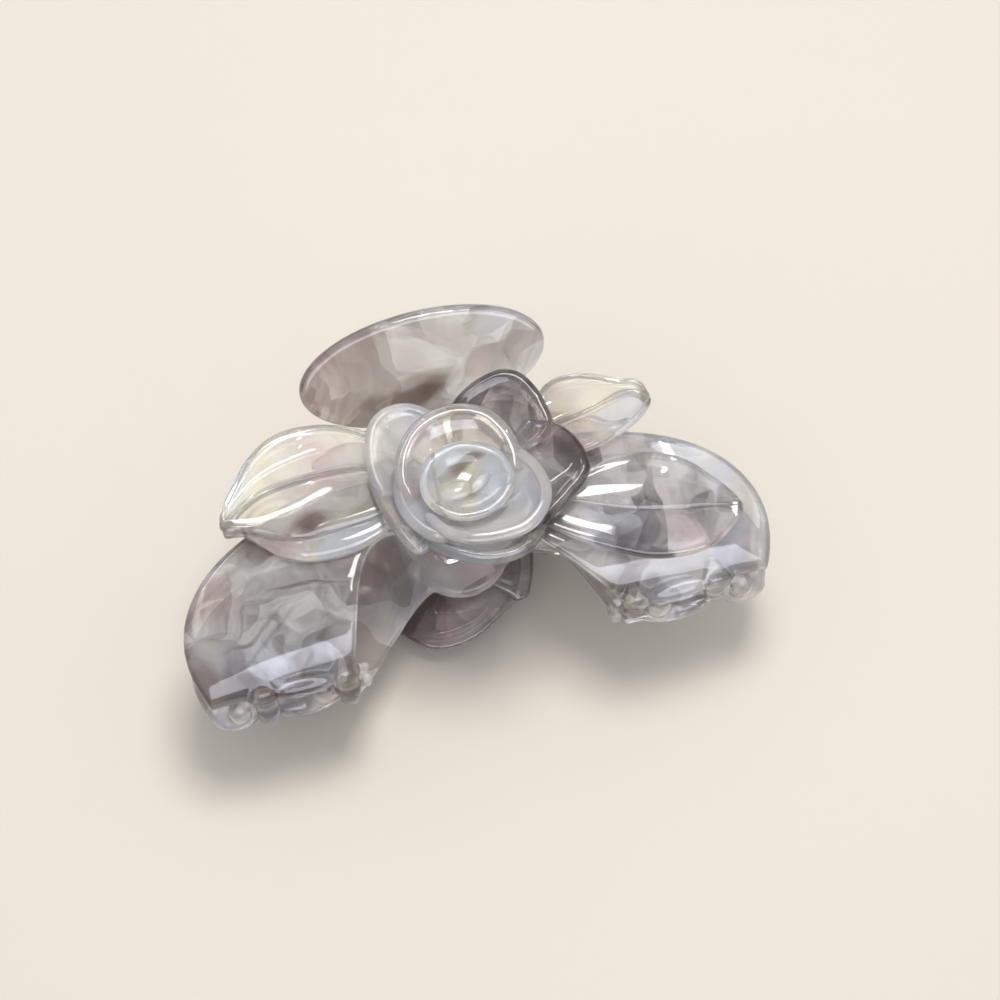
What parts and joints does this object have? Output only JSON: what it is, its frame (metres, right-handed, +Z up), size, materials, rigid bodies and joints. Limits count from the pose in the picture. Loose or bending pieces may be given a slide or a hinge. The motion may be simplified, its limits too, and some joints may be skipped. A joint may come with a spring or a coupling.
{
  "type": "flower hair clip",
  "caption": "Large claw hair clip in marbled translucent resin, with a rose and leaves on each jaw, oval thumb tabs, ball-tipped teeth and a sprung hinge.",
  "frame": {"origin": "centre of the bounding box's bottom face, on the surface that the closed clip lies on", "axes": "+X along the hinge pin and the clip's width, +Y from the teeth towards the thumb tabs, +Z up through the front jaw's rose"},
  "size_m": [0.1118, 0.0606, 0.0552],
  "materials": {
    "front_jaw_resin": "clear grey-lilac pearl resin with brown and violet marbling, high gloss",
    "front_petal_resin": "milky pearl resin, clearer in the cup and smoky violet on two outer petals, high gloss",
    "front_leaf_resin": "milky pearl resin with pale yellow, pink and blue-grey clouds, high gloss",
    "rear_jaw_resin": "smoky grey-mauve pearl resin, high gloss",
    "rear_petal_resin": "dark smoky mauve resin with lighter rims, high gloss",
    "rear_leaf_resin": "grey pearl resin with faint clouds, high gloss",
    "peg_resin": "plain clear resin, gloss",
    "steel": "nickel-plated steel wire and pin, satin"
  },
  "bodies": {
    "rear_half": {"rear_jaw": "rear_jaw_resin", "rear_outer_petals": "rear_petal_resin", "rear_middle_petals": "rear_petal_resin", "rear_inner_petals": "rear_petal_resin", "rear_bud": "rear_petal_resin", "rear_rose_peg": "peg_resin", "rear_broad_leaf": "rear_leaf_resin", "rear_short_leaf": "rear_leaf_resin", "rear_long_leaf": "rear_leaf_resin", "hinge_pin": "steel", "torsion_spring": "steel"},
    "front_half": {"front_jaw": "front_jaw_resin", "front_outer_petals": "front_petal_resin", "front_middle_petals": "front_petal_resin", "front_inner_petals": "front_petal_resin", "front_bud": "front_petal_resin", "front_rose_peg": "peg_resin", "front_broad_leaf": "front_leaf_resin", "front_short_leaf": "front_leaf_resin", "front_long_leaf": "front_leaf_resin"}
  },
  "joints": [
    {"name": "jaw_hinge", "type": "hinge", "parent": "rear_half", "child": "front_half", "pos_m": [0, 0.00748, 0.02761], "axis": [-1, 0, 0], "range_deg": [0, 70], "stiffness_Nm_per_rad": 0.08, "springref_deg": -40.11, "deforming": ["torsion_spring"]}
  ]
}
